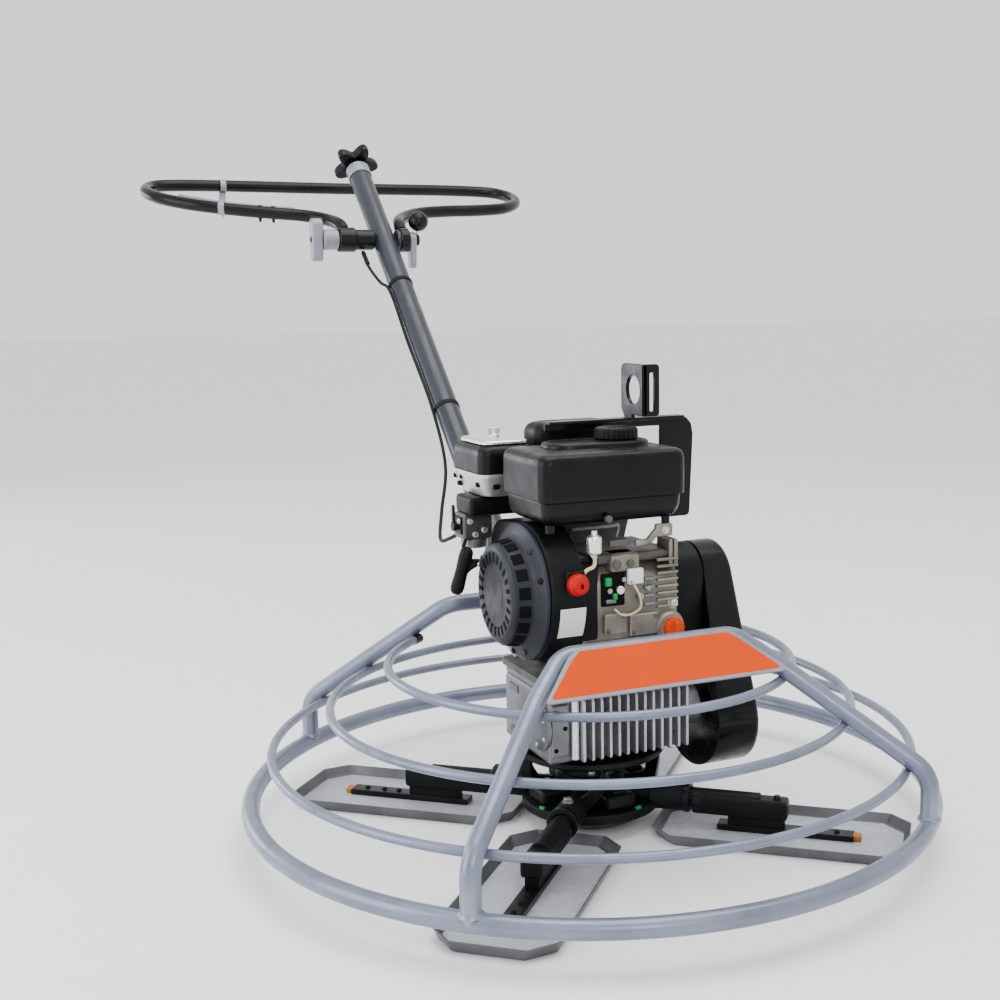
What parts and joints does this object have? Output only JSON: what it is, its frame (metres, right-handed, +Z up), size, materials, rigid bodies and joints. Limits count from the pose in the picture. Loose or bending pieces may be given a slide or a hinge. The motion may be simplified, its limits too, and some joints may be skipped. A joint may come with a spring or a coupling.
{
  "type": "power trowel",
  "caption": "Walk-behind concrete finishing machine: engine-driven blades spin under a tubular guard ring, with a long tilted handle and pitch knob.",
  "frame": {"origin": "middle of the machine's footprint box, on the floor under the blades", "axes": "+Z up, +Y towards the operator along the handle, +X towards the belt guard"},
  "size_m": [1.0014, 1.8168, 1.0823],
  "materials": {
    "silver_paint": "semi-gloss silver grey paint",
    "orange_paint": "satin orange paint",
    "grey_paint": "semi-gloss dark blue-grey paint",
    "black_paint": "gloss black powder coat",
    "cast_aluminium": "as-cast, slightly dirty",
    "bare_steel": "rolled steel with fine scratches",
    "zinc_plate": "zinc plated",
    "black_plastic": "fine-grained moulding",
    "black_rubber": "matt",
    "red_plastic": "glossy",
    "orange_plastic": "satin"
  },
  "bodies": {
    "chassis": {"guard_ring": "silver_paint", "guard_rod_lower": "silver_paint", "guard_rod_middle": "silver_paint", "guard_rod_upper": "silver_paint", "front_arch": "silver_paint", "rear_arch": "silver_paint", "front_plate": "orange_paint", "gearbox_housing": "cast_aluminium", "gearbox_cover": "cast_aluminium", "engine_plate": "black_paint", "handle_base": "cast_aluminium", "handle_tube": "grey_paint", "cross_sleeve": "grey_paint", "throttle_cable": "black_rubber", "crankcase": "cast_aluminium", "cylinder": "cast_aluminium", "blower_housing": "black_paint", "recoil_cover": "black_plastic", "fuel_tank": "black_plastic", "air_cleaner_base": "zinc_plate", "air_cleaner_cover": "black_plastic", "carburetor": "cast_aluminium", "muffler": "black_paint", "drive_belt": "black_rubber", "belt_guard": "black_paint", "lifting_bracket": "black_paint"},
    "rotor": {"output_shaft": "bare_steel", "worm_wheel": "bare_steel", "spider_hub": "black_paint"},
    "worm": {"worm_shaft": "bare_steel", "gearbox_pulley": "bare_steel"},
    "crank": {"crankshaft": "bare_steel", "clutch_pulley": "bare_steel"},
    "collar": {"thrust_collar": "bare_steel"},
    "plate": {"pressure_plate": "black_paint"},
    "yoke": {"pitch_yoke": "bare_steel"},
    "pull": {"pull_rod": "bare_steel"},
    "knob": {"pitch_knob": "black_plastic"},
    "handlebar": {"handlebar": "black_paint"},
    "deadman": {"deadman_lever": "zinc_plate"},
    "wing_left": {"clamp_wing_left": "zinc_plate"},
    "wing_right": {"clamp_wing_right": "zinc_plate"},
    "throttle": {"throttle_lever": "black_plastic"},
    "starter_grip": {"recoil_grip": "black_rubber"},
    "switch": {"ignition_switch": "red_plastic"},
    "tank_cap": {"tank_cap": "black_plastic"},
    "oil_cap": {"oil_filler_cap": "orange_plastic"},
    "choke": {"choke_lever": "black_plastic"},
    "arm_1": {"trowel_arm_1": "black_paint", "blade_bar_1": "black_paint", "blade_1": "bare_steel"},
    "arm_2": {"trowel_arm_2": "black_paint", "blade_bar_2": "black_paint", "blade_2": "bare_steel"},
    "arm_3": {"trowel_arm_3": "black_paint", "blade_bar_3": "black_paint", "blade_3": "bare_steel"},
    "arm_4": {"trowel_arm_4": "black_paint", "blade_bar_4": "black_paint", "blade_4": "bare_steel"}
  },
  "joints": [
    {"name": "rotor_spin", "type": "hinge", "parent": "chassis", "child": "rotor", "pos_m": [0, -0.40768, 0.058], "axis": [0, 0, 1], "continuous": true},
    {"name": "worm_spin", "type": "hinge", "parent": "chassis", "child": "worm", "pos_m": [0, -0.45868, 0.169], "axis": [1, 0, 0], "continuous": true},
    {"name": "crank_spin", "type": "hinge", "parent": "chassis", "child": "crank", "pos_m": [0, -0.43268, 0.356], "axis": [1, 0, 0], "continuous": true},
    {"name": "knob_turn", "type": "hinge", "parent": "chassis", "child": "knob", "pos_m": [0, 0.70732, 1.04], "axis": [0, 0.7428, 0.6695], "range_deg": [0, 1080]},
    {"name": "pull_rod_slide", "type": "slide", "parent": "chassis", "child": "pull", "axis": [0, 0.7428, 0.6695], "range_m": [0, 0.0201]},
    {"name": "yoke_tilt", "type": "hinge", "parent": "chassis", "child": "yoke", "pos_m": [0, -0.31268, 0.128], "axis": [1, 0, 0], "range_deg": [0, 7.14]},
    {"name": "collar_slide", "type": "slide", "parent": "chassis", "child": "collar", "axis": [0, 0, -1], "range_m": [0, 0.01181]},
    {"name": "plate_slide", "type": "slide", "parent": "rotor", "child": "plate", "axis": [0, 0, -1], "range_m": [0, 0.01181]},
    {"name": "blade_pitch_1", "type": "hinge", "parent": "rotor", "child": "arm_1", "pos_m": [-0.13121, -0.55862, 0.045], "axis": [0.6561, 0.7547, 0], "range_deg": [0, 15.01]},
    {"name": "blade_pitch_2", "type": "hinge", "parent": "rotor", "child": "arm_2", "pos_m": [0.15094, -0.53889, 0.045], "axis": [-0.7547, 0.6561, 0], "range_deg": [0, 15.01]},
    {"name": "blade_pitch_3", "type": "hinge", "parent": "rotor", "child": "arm_3", "pos_m": [0.13121, -0.25674, 0.045], "axis": [-0.6561, -0.7547, 0], "range_deg": [0, 15.01]},
    {"name": "blade_pitch_4", "type": "hinge", "parent": "rotor", "child": "arm_4", "pos_m": [-0.15094, -0.27647, 0.045], "axis": [0.7547, -0.6561, 0], "range_deg": [0, 15.01]},
    {"name": "handlebar_tilt", "type": "hinge", "parent": "chassis", "child": "handlebar", "pos_m": [0, 0.52232, 0.877], "axis": [1, 0, 0], "range_deg": [-20, 20]},
    {"name": "deadman_squeeze", "type": "hinge", "parent": "handlebar", "child": "deadman", "pos_m": [-0.15, 0.67632, 0.94251], "axis": [0, -0.2776, 0.9607], "range_deg": [0, 5], "stiffness_Nm_per_rad": 0.6, "springref_deg": -14.32},
    {"name": "wing_left_turn", "type": "hinge", "parent": "chassis", "child": "wing_left", "pos_m": [0, 0.52232, 0.877], "axis": [1, 0, 0], "range_deg": [-90, 0]},
    {"name": "wing_right_turn", "type": "hinge", "parent": "chassis", "child": "wing_right", "pos_m": [0, 0.52232, 0.877], "axis": [1, 0, 0], "range_deg": [-90, 0]},
    {"name": "throttle_turn", "type": "hinge", "parent": "chassis", "child": "throttle", "pos_m": [0, 0.52232, 0.877], "axis": [1, 0, 0], "range_deg": [0, 60]},
    {"name": "recoil_pull", "type": "slide", "parent": "chassis", "child": "starter_grip", "axis": [-0.3563, 0.8144, 0.4581], "range_m": [0, 0.6], "stiffness_N_per_m": 25, "springref_m": -0.4},
    {"name": "switch_turn", "type": "hinge", "parent": "chassis", "child": "switch", "pos_m": [-0.075, -0.53768, 0.38], "axis": [0, -1, 0], "range_deg": [0, 45]},
    {"name": "tank_cap_turn", "type": "hinge", "parent": "chassis", "child": "tank_cap", "pos_m": [0.042, -0.41568, 0.568], "axis": [0, 0, 1], "range_deg": [0, 90]},
    {"name": "oil_cap_turn", "type": "hinge", "parent": "chassis", "child": "oil_cap", "pos_m": [0.079, -0.51768, 0.301], "axis": [0, -1, 0], "range_deg": [0, 720]},
    {"name": "choke_turn", "type": "hinge", "parent": "chassis", "child": "choke", "pos_m": [-0.158, -0.28568, 0.43], "axis": [1, 0, 0], "range_deg": [-50, 0]}
  ],
  "couplings": [
    {"joint": "worm_spin", "follows": "rotor_spin", "ratio": -20},
    {"joint": "crank_spin", "follows": "rotor_spin", "ratio": -30},
    {"joint": "pull_rod_slide", "follows": "knob_turn", "m_per_rad": 0.001061},
    {"joint": "yoke_tilt", "follows": "knob_turn", "ratio": 0.0066066},
    {"joint": "collar_slide", "follows": "knob_turn", "m_per_rad": 0.00062601},
    {"joint": "plate_slide", "follows": "knob_turn", "m_per_rad": 0.00062601},
    {"joint": "blade_pitch_1", "follows": "knob_turn", "ratio": 0.013889},
    {"joint": "blade_pitch_2", "follows": "knob_turn", "ratio": 0.013889},
    {"joint": "blade_pitch_3", "follows": "knob_turn", "ratio": 0.013889},
    {"joint": "blade_pitch_4", "follows": "knob_turn", "ratio": 0.013889}
  ]
}
